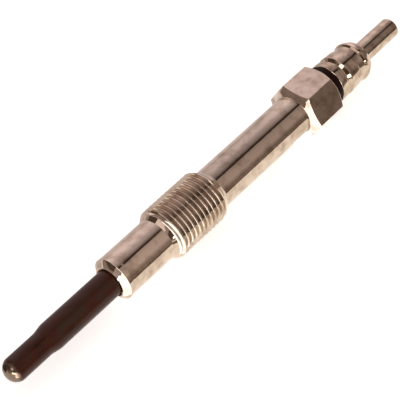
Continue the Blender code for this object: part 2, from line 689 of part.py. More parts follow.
def make_terminal_cap(collection):
    """The terminal cap: pin, rolled rim, waist, drum, crimp groove and front collar, over a blind bore."""
    crimp_front = CAP_FRONT + CAP_FRONT_LENGTH
    crimp_rear = crimp_front + CRIMP_LENGTH
    drum_rear = crimp_rear + CAP_DRUM_LENGTH
    waist_front = drum_rear + CAP_WAIST_SLOPE
    waist_rear = waist_front + CAP_WAIST_LENGTH
    rim_front = waist_rear + CAP_STEP_LENGTH
    rim_rear = rim_front + CAP_RIM_LENGTH
    cap_rear = rim_rear + CAP_REAR_LENGTH
    rim = CAP_RADIUS - CAP_RIM_DROP
    waist = CAP_RADIUS - CAP_WAIST_DEPTH
    bore = STUD_RADIUS + FIT_GAP
    bore_end = CAP_FRONT + CAP_BORE_DEPTH
    corners = [
        sharp(0.0, TOTAL_LENGTH),
        (PIN_RADIUS, TOTAL_LENGTH, PIN_ROUNDING),
        sharp(PIN_RADIUS, cap_rear),
        (rim - CAP_RIM_TAPER - CAP_REAR_DROP, cap_rear, CAP_EDGE_ROUNDING),
        (rim - CAP_RIM_TAPER, rim_rear, CAP_REAR_DROP),
        (rim, rim_front, CAP_RIM_ROUNDING),
        (waist, waist_rear, CAP_WAIST_ROUNDING),
        sharp(waist, waist_front),
        (CAP_RADIUS - CAP_DRUM_TAPER, drum_rear, CAP_EDGE_ROUNDING),
        (CAP_RADIUS, crimp_rear, CAP_EDGE_ROUNDING),
        (CAP_RADIUS - CRIMP_DEPTH, crimp_rear - CRIMP_REAR_FLANK, CRIMP_ROUNDING),
        (CAP_RADIUS - CRIMP_DEPTH, crimp_front + CRIMP_FRONT_FLANK, CRIMP_ROUNDING),
        (CAP_RADIUS, crimp_front, CAP_EDGE_ROUNDING),
        (CAP_RADIUS, CAP_FRONT, CAP_EDGE_ROUNDING),
        sharp(bore + BORE_CHAMFER, CAP_FRONT),
        sharp(bore, CAP_FRONT + BORE_CHAMFER),
        sharp(bore, bore_end),
        sharp(0.0, bore_end),
    ]
    return turned("terminal_cap", corners, False, OUTER_FACETS, collection)


def main():
    clear_scene()
    parts = new_collection("diesel_glow_plug")
    cutters = new_collection("cutters", hidden=True)

    # The pieces are made upright, tip down on the origin, and this empty lays them along X.
    frame = bpy.data.objects.new("plug_axis", None)
    frame.location = (-TOTAL_LENGTH / 2, 0.0, AXIS_HEIGHT)
    frame.rotation_euler = (0.0, math.pi / 2, 0.0)
    parts.objects.link(frame)

    pieces = (
        (make_threaded_body(parts, cutters), "plated_steel"),
        (make_glow_tube(parts), "oxidised_alloy"),
        (make_heating_coil(parts), "heating_wire"),
        (make_control_coil(parts), "control_wire"),
        (make_magnesia_filling(parts, cutters), "magnesia"),
        (make_tube_seal(parts), "brown_rubber"),
        (make_terminal_stud(parts), "bare_steel"),
        (make_body_seal(parts), "green_rubber"),
        (make_insulating_washer(parts), "black_insulator"),
        (make_terminal_cap(parts), "plated_cap_steel"),
    )
    for piece, finish_name in pieces:
        complete(piece, finish_name, frame)
    for cutter in cutters.objects:
        cutter.parent = frame


main()
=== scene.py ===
"""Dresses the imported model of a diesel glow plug.

The plug lies on a pale floor with its axis along X, the glow tube at -X and the push-on pin at +X. Every
piece is modelled upright in millimetres, tip down on the origin, and is then laid along X in metres, where
the frame has it.
"""

import logging
import math
from dataclasses import dataclass
from enum import Enum
from typing import Any, Iterable, Optional, Sequence

import bmesh
import bpy
from mathutils import Matrix, Vector


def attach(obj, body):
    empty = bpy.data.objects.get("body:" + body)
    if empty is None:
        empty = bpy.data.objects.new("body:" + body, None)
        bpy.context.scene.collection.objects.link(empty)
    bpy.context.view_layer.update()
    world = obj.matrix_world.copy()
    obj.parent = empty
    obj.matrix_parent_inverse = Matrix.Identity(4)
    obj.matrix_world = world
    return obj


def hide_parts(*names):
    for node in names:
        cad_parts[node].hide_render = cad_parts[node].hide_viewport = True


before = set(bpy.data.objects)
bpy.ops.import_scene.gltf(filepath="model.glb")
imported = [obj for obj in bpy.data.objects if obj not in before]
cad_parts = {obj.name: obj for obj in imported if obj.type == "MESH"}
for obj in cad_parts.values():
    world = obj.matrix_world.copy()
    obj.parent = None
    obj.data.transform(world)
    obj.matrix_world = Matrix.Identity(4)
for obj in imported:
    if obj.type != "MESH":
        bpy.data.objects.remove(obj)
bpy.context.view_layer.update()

MM = 0.001
TOTAL_LENGTH = 103.15  # mm, tip of the glow tube to the end of the pin
AXIS_HEIGHT = 5.0  # mm, half of the hexagon across its flats
LAY_DOWN = (
    Matrix.Translation((-TOTAL_LENGTH * MM / 2, 0.0, AXIS_HEIGHT * MM))
    @ Matrix.Rotation(math.pi / 2, 4, "Y")
    @ Matrix.Scale(MM, 4)
)
FACETS = 128  # round the axis
MERGE = 1e-4  # mm
SHARP_ANGLE = math.radians(32.0)

Triple = tuple[float, float, float]
Shape = bmesh.types.BMesh
Tree = bpy.types.NodeTree
Node = bpy.types.Node

log = logging.getLogger("glow_plug")


class Fit(Enum):
    """How far a piece's profile closes on itself."""

    OPEN = "open"
    CLOSED = "closed"


class Coordinate(Enum):
    """Axes of a point in the laid-down plug, in the order in which Separate XYZ gives them."""

    ALONG = "X"
    ACROSS = "Y"
    UP = "Z"


# Shapes


@dataclass(frozen=True)
class Corner:
    """One corner of a turned profile, in millimetres.

    Args:
        radius: Distance from the axis.
        station: Distance from the tip of the glow tube.
        rounding: Radius of the arc that takes the corner's place.
        steps: Number of straight pieces that draw the arc.
    """

    radius: float
    station: float
    rounding: float = 0.0
    steps: int = 4


class Turning:
    """A profile that is drawn as a wire and spun round the axis."""

    def __init__(self, corners: Sequence[Corner], fit: Fit) -> None:
        """Keeps the corners, in order along the profile, and whether the last one joins the first."""
        self.corners = list(corners)
        self.fit = fit

    def reach(self, index: int) -> float:
        """How far from its corner an arc begins.

        Args:
            index: Place of the corner in the profile.

        Returns:
            The distance along either side. Two arcs on one side take no more than just under half of it each.
        """
        here = self.corners[index]
        at = Vector((here.radius, here.station))
        half_sides = []
        directions = []
        for other in (self.corners[index - 1], self.corners[(index + 1) % len(self.corners)]):
            side = Vector((other.radius, other.station)) - at
            directions.append(side)
            half_sides.append(side.length * (0.49 if other.rounding > 0.0 else 0.98))
        half_angle = directions[0].angle(directions[1]) / 2
        return min(here.rounding / math.tan(half_angle), *half_sides)

    def draw(self, shape: Shape) -> None:
        """Draws the profile as a chain of edges with its corners rounded.

        Args:
            shape: The empty bmesh that it goes into.
        """
        verts = [shape.verts.new((corner.radius, 0.0, corner.station)) for corner in self.corners]
        for start, end in zip(verts, verts[1:]):
            shape.edges.new((start, end))
        if self.fit is Fit.CLOSED:
            shape.edges.new((verts[-1], verts[0]))
        for index, (corner, vert) in enumerate(zip(self.corners, verts)):
            if corner.rounding > 0.0:
                bmesh.ops.bevel(
                    shape,
                    geom=[vert],
                    offset=self.reach(index),
                    offset_type="OFFSET",
                    segments=corner.steps,
                    profile=0.5,
                    affect="VERTICES",
                    material=-1,
                )

    def spun(self) -> Shape:
        """Turns the profile once round the axis.

        Returns:
            The turned shape, with its doubles and the points on the axis merged.
        """
        shape = bmesh.new()
        self.draw(shape)
        bmesh.ops.spin(
            shape,
            geom=shape.verts[:] + shape.edges[:],
            cent=(0.0, 0.0, 0.0),
            axis=(0.0, 0.0, 1.0),
            dvec=(0.0, 0.0, 0.0),
            angle=2 * math.pi,
            steps=FACETS,
            use_merge=True,
            use_duplicate=False,
        )
        bmesh.ops.remove_doubles(shape, verts=shape.verts[:], dist=MERGE)
        bmesh.ops.dissolve_degenerate(shape, edges=shape.edges[:], dist=MERGE)
        return shape


def new_object(name: str, shape: Shape, material: bpy.types.Material) -> bpy.types.Object:
    """Makes an object of a finished shape and links it to the scene.

    Args:
        name: Name of the object and of its mesh.
        shape: The shape in metres. It is freed.
        material: Its surface.

    Returns:
        The new object, which sits at the origin.
    """
    mesh = bpy.data.meshes.new(name)
    shape.to_mesh(mesh)
    shape.free()
    mesh.materials.append(material)
    made = bpy.data.objects.new(name, mesh)
    bpy.context.scene.collection.objects.link(made)
    return made


def mount_piece(
    name: str, shape: Shape, node: str, finish: "Finish", flat: Iterable[bmesh.types.BMFace] = ()
) -> None:
    """Lays a finished shape along X, dresses it and lets it stand for a CAD node.

    Args:
        name: Name of the piece.
        shape: The piece upright, in millimetres.
        node: The CAD node that it takes the place of.
        finish: The piece's surface.
        flat: Faces that are shaded flat.
    """
    bmesh.ops.recalc_face_normals(shape, faces=shape.faces[:])
    for face in shape.faces:
        face.smooth = True
    for face in flat:
        face.smooth = False
    shape.transform(LAY_DOWN)
    piece = new_object(name, shape, finish.material())
    piece.data.set_sharp_from_angle(angle=SHARP_ANGLE)
    # Long straight faces keep their own normals, so the mirror bands run straight along them.
    weighted = piece.modifiers.new("face_weighted_normals", "WEIGHTED_NORMAL")
    weighted.mode = "FACE_AREA"
    weighted.weight = 50
    weighted.keep_sharp = True
    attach(piece, "root")
    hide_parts(node)
    log.info("%s: %d faces, in place of %s", name, len(piece.data.polygons), node)


@dataclass
class GlowTube:
    """The heat-resistant sheath: drawn down in front, closed and rounded at the tip."""

    radius: float = 2.53
    narrow_radius: float = 2.20
    wall: float = 0.55
    tip_thickness: float = 1.30
    tip_rounding: float = 2.02
    rim_rounding: float = 0.14
    narrow_length: float = 8.10
    swage_length: float = 1.80
    length: float = 32.85
    swage_rounding: float = 2.6
    swage_steps: int = 8
    tip_steps: int = 18
    bore_end_share: float = 0.95  # the bore's rounded end takes this much of its radius
    bore_end_steps: int = 10
    bore_swage_steps: int = 6

    def outside(self) -> list[Corner]:
        """Lists the corners of the outer side, from the open end to the tip."""
        swage = (self.swage_rounding, self.swage_steps)
        return [
            Corner(self.radius, self.length, self.rim_rounding),
            Corner(self.radius, self.narrow_length + self.swage_length, *swage),
            Corner(self.narrow_radius, self.narrow_length, *swage),
            Corner(self.narrow_radius, 0.0, self.tip_rounding, self.tip_steps),
            Corner(0.0, 0.0),
        ]

    def bore(self) -> list[Corner]:
        """Lists the corners of the bore, from its closed end to the open end."""
        narrow, wide = self.narrow_radius - self.wall, self.radius - self.wall
        steps = self.bore_swage_steps
        return [
            Corner(0.0, self.tip_thickness),
            Corner(narrow, self.tip_thickness, self.bore_end_share * narrow, self.bore_end_steps),
            Corner(narrow, self.narrow_length, self.swage_rounding, steps),
            Corner(wide, self.narrow_length + self.swage_length, self.swage_rounding, steps),
            Corner(wide, self.length),
        ]

    def build(self) -> None:
        """Makes the tube and dresses it in burnt oxide."""
        shape = Turning(self.bore() + self.outside(), Fit.OPEN).spun()
        mount_piece("sheath_tube", shape, "glow_tube", BurntOxide())


@dataclass
class MetricThread:
    """A right-handed M10 x 1 thread, rolled on the body between its lead-in cone and its run-out cone."""

    major_radius: float = 5.00
    pitch: float = 1.00
    phase: float = 0.05  # a root lies here, in pitches, on the side where the turns are cut
    root_depth: float = 0.56
    crest_share: float = 0.20  # flat part of the crest, in pitches
    root_share: float = 0.15
    rounding: float = 0.07
    rounding_steps: int = 3
    flank_cuts: int = 4
    front: float = 36.02  # the sleeve is cut square here, where the lead-in cone is still below the root
    rear: float = 48.95

    def draw_profile(self, shape: Shape) -> None:
        """Draws one pitch of the thread's profile, root to root.

        Args:
            shape: The empty bmesh that it goes into.
        """
        root = self.major_radius - self.root_depth
        half_root = self.root_share * self.pitch / 2
        half_crest = self.crest_share * self.pitch / 2
        arc = (self.rounding, self.rounding_steps)
        corners = [
            Corner(root, 0.0),
            Corner(root, half_root, *arc),
            Corner(self.major_radius, self.pitch / 2 - half_crest, *arc),
            Corner(self.major_radius, self.pitch / 2 + half_crest, *arc),
            Corner(root, self.pitch - half_root, *arc),
            Corner(root, self.pitch),
        ]
        Turning(corners, Fit.OPEN).draw(shape)
        flanks = [edge for edge in shape.edges if edge.calc_length() > self.root_depth / 2]
        bmesh.ops.subdivide_edges(shape, edges=flanks, cuts=self.flank_cuts)

    def sleeve(self, envelope: "ThreadedBody") -> Shape:
        """Winds the profile once, stacks the turns and trims them to the body's cones.

        Args:
            envelope: The body, whose cones end the thread.

        Returns:
            The threaded sleeve, cut square at both ends.
        """
        turn = bmesh.new()
        self.draw_profile(turn)
        bmesh.ops.spin(
            turn,
            geom=turn.verts[:] + turn.edges[:],
            cent=(0.0, 0.0, 0.0),
            axis=(0.0, 0.0, 1.0),
            dvec=(0.0, 0.0, self.pitch / FACETS),
            angle=2 * math.pi,
            steps=FACETS,
            use_merge=False,
            use_duplicate=False,
        )
        first = math.floor(self.front / self.pitch) - 2
        last = math.ceil(self.rear / self.pitch) + 2
        one = turn.verts[:] + turn.edges[:] + turn.faces[:]
        bmesh.ops.translate(turn, verts=turn.verts[:], vec=(0.0, 0.0, (first + self.phase) * self.pitch))
        for count in range(1, last - first):
            copy = bmesh.ops.duplicate(turn, geom=one)
            verts = [item for item in copy["geom"] if isinstance(item, bmesh.types.BMVert)]
            bmesh.ops.translate(turn, verts=verts, vec=(0.0, 0.0, count * self.pitch))
        bmesh.ops.remove_doubles(turn, verts=turn.verts[:], dist=MERGE)
        for vert in turn.verts:
            radius = math.hypot(vert.co.x, vert.co.y)
            limit = envelope.outer_limit(vert.co.z)
            if radius > limit:
                vert.co.x *= limit / radius
                vert.co.y *= limit / radius
        for station, direction in ((self.front, -1.0), (self.rear, 1.0)):
            bmesh.ops.bisect_plane(
                turn,
                geom=turn.verts[:] + turn.edges[:] + turn.faces[:],
                dist=MERGE,
                plane_co=(0.0, 0.0, station),
                plane_no=(0.0, 0.0, direction),
                clear_outer=True,
            )
        return turn


@dataclass
class ThreadedBody:
    """The body, turned from one bar: seat cone, nose, thread, shank and hexagon, bored through."""

    front: float = 23.85
    seat_bore: float = 2.58
    relief_radius: float = 2.78
    relief_depth: float = 0.90
    mouth_radius: float = 3.00
    mouth_rounding: float = 0.06
    seat_radius: float = 4.07
    seat_rear: float = 24.75
    land_rear: float = 26.05
    nose_radius: float = 3.99
    lead_in_front: float = 35.55
    lead_in_rear: float = 37.05
    run_out_front: float = 47.85
    run_out_rear: float = 49.60
    shank_radius: float = 3.88
    shank_rear: float = 73.00
    fillet: float = 0.20
    across_flats: float = 10.00
    shoulder_angle: float = math.radians(22.0)
    chamfer_angle: float = math.radians(55.0)
    rear_radius: float = 4.35
    rear: float = 81.20
    bore: float = 2.30
    seat_bore_rear: float = 32.90
    counterbore: float = 3.20
    counterbore_depth: float = 5.20
    bore_chamfer: float = 0.15
    collar_margin: float = 0.30  # the collar is turned this much over the hexagon's corners, then milled
    rear_rounding: float = 0.05
    rear_rounding_steps: int = 2
    land_rounding: float = 0.30
    edge_round: float = 0.09
    edge_round_steps: int = 3
    smallest_flat: float = 10.0  # mm2, less than the area of any of the six flats
    flat_slack: float = 0.01  # in a flat's normal and in its distance from the axis

    def outer_limit(self, station: float) -> float:
        """Radius of the lead-in cone, the thread's crest or the run-out cone at a station.

        Args:
            station: Distance from the tip.

        Returns:
            The largest radius that the thread may have there.
        """
        crest = MetricThread.major_radius
        if station < self.lead_in_rear:
            share = (station - self.lead_in_front) / (self.lead_in_rear - self.lead_in_front)
            return self.nose_radius + (crest - self.nose_radius) * share
        if station > self.run_out_front:
            share = (station - self.run_out_front) / (self.run_out_rear - self.run_out_front)
            return crest + (self.shank_radius - crest) * share
        return crest

    def corners(self, thread: MetricThread) -> list[Corner]:
        """Lists the whole profile, from the foot of the thread's run-out round to the foot of its lead-in.

        Args:
            thread: The thread that fills the gap in the profile.

        Returns:
            The corners, outer side first, then the bore.
        """
        corner_radius = self.across_flats / math.sqrt(3)
        collar = corner_radius + self.collar_margin
        shoulder = self.shank_rear + (collar - self.shank_radius) * math.tan(self.shoulder_angle)
        chamfer = self.rear - (collar - self.rear_radius) / math.tan(self.chamfer_angle)
        return [
            Corner(self.outer_limit(thread.rear), thread.rear),
            Corner(self.shank_radius, self.run_out_rear, self.fillet),
            Corner(self.shank_radius, self.shank_rear, self.fillet),
            Corner(collar, shoulder),
            Corner(collar, chamfer),
            Corner(self.rear_radius, self.rear, self.rear_rounding, self.rear_rounding_steps),
            Corner(self.counterbore + self.bore_chamfer, self.rear),
            Corner(self.counterbore, self.rear - self.bore_chamfer),
            Corner(self.counterbore, self.rear - self.counterbore_depth),
            Corner(self.bore, self.rear - self.counterbore_depth),
            Corner(self.bore, self.seat_bore_rear),
            Corner(self.seat_bore, self.seat_bore_rear),
            Corner(self.seat_bore, self.front + self.relief_depth),
            Corner(self.relief_radius, self.front + self.relief_depth),
            Corner(self.relief_radius, self.front, self.mouth_rounding),
            Corner(self.mouth_radius, self.front, self.mouth_rounding),
            Corner(self.seat_radius, self.seat_rear, self.fillet),
            Corner(self.nose_radius, self.land_rear, self.land_rounding),
            Corner(self.nose_radius, self.lead_in_front, self.fillet),
            Corner(self.outer_limit(thread.front), thread.front),
        ]

    def mill_hexagon(self, shape: Shape) -> list[bmesh.types.BMFace]:
        """Cuts the six flats off the turned collar and rounds their edges.

        Args:
            shape: The turned body.

        Returns:
            The faces of the six flats.
        """
        flat_distance = self.across_flats / 2
        for index in range(6):
            angle = math.pi / 3 * index
            normal = Vector((math.cos(angle), math.sin(angle), 0.0))
            collar = [vert for vert in shape.verts if vert.co.z > self.shank_rear - MERGE]
            around = set(collar)
            edges = [edge for edge in shape.edges if all(vert in around for vert in edge.verts)]
            faces = [face for face in shape.faces if all(vert in around for vert in face.verts)]
            cut = bmesh.ops.bisect_plane(
                shape,
                geom=collar + edges + faces,
                dist=MERGE,
                plane_co=normal * flat_distance,
                plane_no=normal,
                clear_outer=True,
            )
            rim = [item for item in cut["geom_cut"] if isinstance(item, bmesh.types.BMEdge)]
            bmesh.ops.holes_fill(shape, edges=rim, sides=0)
        shape.normal_update()
        bmesh.ops.recalc_face_normals(shape, faces=shape.faces[:])
        return self.round_hexagon(shape)

    def round_hexagon(self, shape: Shape) -> list[bmesh.types.BMFace]:
        """Rounds the edges round each flat, as tumbling and plating leave them.

        Args:
            shape: The body with its flats cut.

        Returns:
            The faces of the six flats, as they are after the rounding.
        """
        flats = self.find_flats(shape)
        edges = list({edge for face in flats for edge in face.edges})
        bmesh.ops.bevel(
            shape,
            geom=edges,
            offset=self.edge_round,
            offset_type="OFFSET",
            segments=self.edge_round_steps,
            profile=0.5,
            affect="EDGES",
            material=-1,
        )
        return self.find_flats(shape)

    def find_flats(self, shape: Shape) -> list[bmesh.types.BMFace]:
        """Finds the six big faces whose planes lie at half the width across flats.

        Args:
            shape: The body.

        Returns:
            The faces of the six flats.
        """
        found = []
        for face in shape.faces:
            upright = abs(face.normal.z) < self.flat_slack
            off = face.normal.xy.dot(face.calc_center_median().xy) - self.across_flats / 2
            if upright and face.calc_area() > self.smallest_flat and abs(off) < self.flat_slack:
                found.append(face)
        return found

    def build(self) -> None:
        """Makes the body in one closed mesh, with a real helical thread, and dresses it in nickel plate."""
        thread = MetricThread()
        shape = Turning(self.corners(thread), Fit.OPEN).spun()
        self.mill_hexagon(shape)
        sleeve = thread.sleeve(self)
        joined = bpy.data.meshes.new("sleeve_of_thread")
        sleeve.to_mesh(joined)
        sleeve.free()
        shape.from_mesh(joined)
        bpy.data.meshes.remove(joined)
        for station in (thread.front, thread.rear):
            ring = [
                edge for edge in shape.edges
                if edge.is_boundary and all(abs(vert.co.z - station) < 10 * MERGE for vert in edge.verts)
            ]
            bmesh.ops.bridge_loops(shape, edges=ring)
        bmesh.ops.remove_doubles(shape, verts=shape.verts[:], dist=MERGE)
        mount_piece("plated_body", shape, "threaded_body", NickelPlate(), self.find_flats(shape))


@dataclass
class InsulatingWasher:
    """The moulded washer between hexagon and cap, with its collar down in the counterbore."""

    radius: float = 4.12
    front: float = 81.25
    thickness: float = 1.60
    rounding: float = 0.35
    rounding_steps: int = 6
    collar_radius: float = 3.15
    collar_front: float = 79.80
    collar_chamfer: float = 0.20
    bore: float = 1.80

    def build(self) -> None:
        """Makes the washer and dresses it in black polyamide."""
        rear = self.front + self.thickness
        corners = [
            Corner(self.radius, rear, self.rounding, self.rounding_steps),
            Corner(self.radius, self.front, self.rounding, self.rounding_steps),
            Corner(self.collar_radius, self.front),
            Corner(self.collar_radius, self.collar_front + self.collar_chamfer),
            Corner(self.collar_radius - self.collar_chamfer, self.collar_front),
            Corner(self.bore, self.collar_front),
            Corner(self.bore, rear),
        ]
        shape = Turning(corners, Fit.CLOSED).spun()
        mount_piece("washer_ring", shape, "insulating_washer", BlackPolyamide())


@dataclass
class TerminalCap:
    """The round nut that is crimped on the stud, with its rolled rim and the push-on pin."""

    front: float = 82.90
    radius: float = 4.05
    crimp_front: float = 84.55
    crimp_rear: float = 85.85
    crimp_depth: float = 0.60
    crimp_front_flank: float = 0.20
    crimp_rear_flank: float = 0.60
    crimp_rounding: float = 0.25
    edge_rounding: float = 0.22
    drum_rear: float = 88.35
    drum_taper: float = 0.14
    waist_front: float = 88.70
    waist_rear: float = 90.18
    waist_radius: float = 3.68
    waist_rounding: float = 0.15
    rim_front: float = 90.54
    rim_rear: float = 91.10
    rim_radius: float = 4.02
    rim_taper: float = 0.08
    rim_rounding: float = 0.15
    rear: float = 92.30
    rear_drop: float = 0.54
    pin_radius: float = 2.00
    pin_rounding: float = 0.48
    pin_foot: float = 0.12
    bore: float = 1.80
    bore_depth: float = 7.40
    bore_chamfer: float = 0.15
    arc_steps: tuple[int, int, int] = (8, 6, 5)  # straight pieces in a wide, a middling and a small arc

    def build(self) -> None:
        """Makes the cap and its pin in one piece and dresses them in nickel plate."""
        groove = self.radius - self.crimp_depth
        rim_end = self.rim_radius - self.rim_taper
        wide, middling, small = self.arc_steps
        corners = [
            Corner(0.0, TOTAL_LENGTH),
            Corner(self.pin_radius, TOTAL_LENGTH, self.pin_rounding, wide),
            Corner(self.pin_radius, self.rear, self.pin_foot),
            Corner(rim_end - self.rear_drop, self.rear, self.edge_rounding, small),
            Corner(rim_end, self.rim_rear, self.rear_drop, wide),
            Corner(self.rim_radius, self.rim_front, self.rim_rounding, wide),
            Corner(self.waist_radius, self.waist_rear, self.waist_rounding, small),
            Corner(self.waist_radius, self.waist_front, self.waist_rounding, small),
            Corner(self.radius - self.drum_taper, self.drum_rear, self.edge_rounding, middling),
            Corner(self.radius, self.crimp_rear, self.edge_rounding, small),
            Corner(groove, self.crimp_rear - self.crimp_rear_flank, self.crimp_rounding, middling),
            Corner(groove, self.crimp_front + self.crimp_front_flank, self.crimp_rounding, middling),
            Corner(self.radius, self.crimp_front, self.edge_rounding, small),
            Corner(self.radius, self.front, self.edge_rounding, small),
            Corner(self.bore + self.bore_chamfer, self.front),
            Corner(self.bore, self.front + self.bore_chamfer),
            Corner(self.bore, self.front + self.bore_depth),
            Corner(0.0, self.front + self.bore_depth),
        ]
        shape = Turning(corners, Fit.OPEN).spun()
        mount_piece("cap_with_pin", shape, "terminal_cap", NickelCap())


# Finishes


def linear(hex_colour: str) -> tuple[float, float, float, float]:
    """Turns an sRGB hex colour to linear.

    Args:
        hex_colour: The colour, such as #D2C1AC.

    Returns:
        Linear red, green, blue and alpha.
    """
    values = [int(hex_colour[index:index + 2], 16) / 255 for index in (1, 3, 5)]
    red, green, blue = (v / 12.92 if v <= 0.04045 else ((v + 0.055) / 1.055) ** 2.4 for v in values)
    return (red, green, blue, 1.0)


def new_material(name: str) -> bpy.types.Material:
    """Makes a material whose node tree is empty.

    Args:
        name: Name of the material.

    Returns:
        The new material.
    """
    made = bpy.data.materials.new(name)
    made.use_nodes = True
    made.node_tree.nodes.clear()
    return made


def add_node(
    tree: Tree,
    kind: str,
    settings: Optional[dict[str, Any]] = None,
    inputs: Optional[dict[Any, Any]] = None,
    stops: Sequence[tuple[float, Sequence[float]]] = (),
) -> Node:
    """Adds a node.

    Args:
        tree: The node tree.
        kind: Blender's name of the node type.
        settings: Values of the node's own properties.
        inputs: Values of the named or numbered inputs: numbers, output sockets, or nodes, of which the first
            output is taken.
        stops: Places and linear colours of a colour ramp.

    Returns:
        The new node.
    """
    node = tree.nodes.new(kind)
    for name, value in (settings or {}).items():
        setattr(node, name, value)
    for name, value in (inputs or {}).items():
        source = value.outputs[0] if isinstance(value, Node) else value
        if isinstance(source, bpy.types.NodeSocket):
            tree.links.new(source, node.inputs[name])
        else:
            node.inputs[name].default_value = source
    for index, (position, colour) in enumerate(stops):
        elements = node.color_ramp.elements
        element = elements[index] if index < len(elements) else elements.new(1.0)
        element.position = position
        element.color = colour
    return node


@dataclass(frozen=True)
class Pattern:
    """A cloudy pattern on a surface.

    Args:
        size: Width of one patch in millimetres.
        layers: Number of finer layers in it.
        stretch: How much longer the patches are along the plug.
        contrast: Strength of each finer layer against the one before.
    """

    size: float
    layers: float = 3.0
    stretch: float = 1.0
    contrast: float = 0.55


@dataclass(frozen=True)
class Finish:
    """A surface of the plug: patches of two or three shades, an uneven gloss and a fine relief.

    Args:
        name: The real material and how its surface was made.
        slot: Name of a material slot. It is not used.
        metallic: 1 for bare metal, which keeps the default IOR.
        ior: Index of refraction.
        specular: Strength of the reflection on what is not metal.
        shades: Places on the patches' scale from 0 to 1 and the sRGB colours there.
        patches: The pattern of the shades.
        grain: The pattern of the gloss.
        grain_span: The part of that pattern's range that the gloss follows.
        roughness: Roughness at either end of it.
        ripple: The pattern of the relief.
        relief: Height of the relief in millimetres.
        bare_metal_and_painted_shade: The sRGB colour that a finish lays over part of its surface: bare metal
            at the glow tube's tip, painted shade in the thread's grooves.
    """

    name: str = "finish"
    slot: str = ""
    metallic: float = 0.0
    ior: float = 1.5
    specular: float = 0.5
    shades: tuple[tuple[float, str], ...] = ()
    patches: Pattern = Pattern(0.3)
    grain: Pattern = Pattern(0.3)
    grain_span: tuple[float, float] = (0.35, 0.70)
    roughness: tuple[float, float] = (0.4, 0.6)
    ripple: Pattern = Pattern(0.3)
    relief: float = 0.006
    bare_metal_and_painted_shade: str = "#808080"

    def material(self) -> bpy.types.Material:
        """Makes the material once.

        Returns:
            The material of this finish.
        """
        found = bpy.data.materials.get(self.name)
        if found is not None:
            return found
        made = new_material(self.name)
        tree = made.node_tree
        fixed = {"Metallic": self.metallic, "IOR": self.ior, "Specular IOR Level": self.specular}
        shader = add_node(tree, "ShaderNodeBsdfPrincipled", {}, fixed)
        add_node(tree, "ShaderNodeOutputMaterial", {}, {"Surface": shader})
        # Places in millimetres, from the middle of the floor under the plug.
        where = add_node(tree, "ShaderNodeTexCoord").outputs["Object"]
        place = add_node(tree, "ShaderNodeMapping", {}, {"Vector": where, "Scale": (1 / MM, 1 / MM, 1 / MM)})
        drawn: dict[Pattern, Node] = {}
        for pattern in (self.patches, self.grain, self.ripple):
            if pattern in drawn:
                continue
            scale = (1 / pattern.stretch, 1.0, 1.0)
            stretched = add_node(tree, "ShaderNodeMapping", {}, {"Vector": place, "Scale": scale})
            inputs = {"Vector": stretched, "Scale": 1 / pattern.size, "Detail": pattern.layers}
            inputs["Roughness"] = pattern.contrast
            drawn[pattern] = add_node(tree, "ShaderNodeTexNoise", {}, inputs)
        stops = [(position, linear(shade)) for position, shade in self.shades]
        colour = add_node(tree, "ShaderNodeValToRGB", {}, {"Fac": drawn[self.patches]}, stops)
        ranges = dict(zip(("From Min", "From Max", "To Min", "To Max"), (*self.grain_span, *self.roughness)))
        gloss = add_node(tree, "ShaderNodeMapRange", {}, {"Value": drawn[self.grain], **ranges})
        tree.links.new(gloss.outputs["Result"], shader.inputs["Roughness"])
        inputs = {"Height": drawn[self.ripple], "Strength": 1.0, "Distance": self.relief * MM}
        bump = add_node(tree, "ShaderNodeBump", {}, inputs)
        tree.links.new(bump.outputs["Normal"], shader.inputs["Normal"])
        base = colour.outputs["Color"]
        share = self.lay_bare_metal_and_painted_shade(tree, shader, place)
        if share is not None:
            inputs = {0: share, 6: base, 7: linear(self.bare_metal_and_painted_shade)}
            base = add_node(tree, "ShaderNodeMix", {"data_type": "RGBA"}, inputs).outputs[2]
        tree.links.new(base, shader.inputs["Base Color"])
        return made

    def lay_bare_metal_and_painted_shade(self, tree: Tree, shader: Node, place: Node) -> Optional[Node]:
        """Adds nodes where the surface changes along the plug. A plain finish has none.

        Args:
            tree: The material's nodes.
            shader: The shader.
            place: The place in millimetres.

        Returns:
            The node that says how much the laid-over colour covers, from 0 to 1, or nothing.
        """
        return None


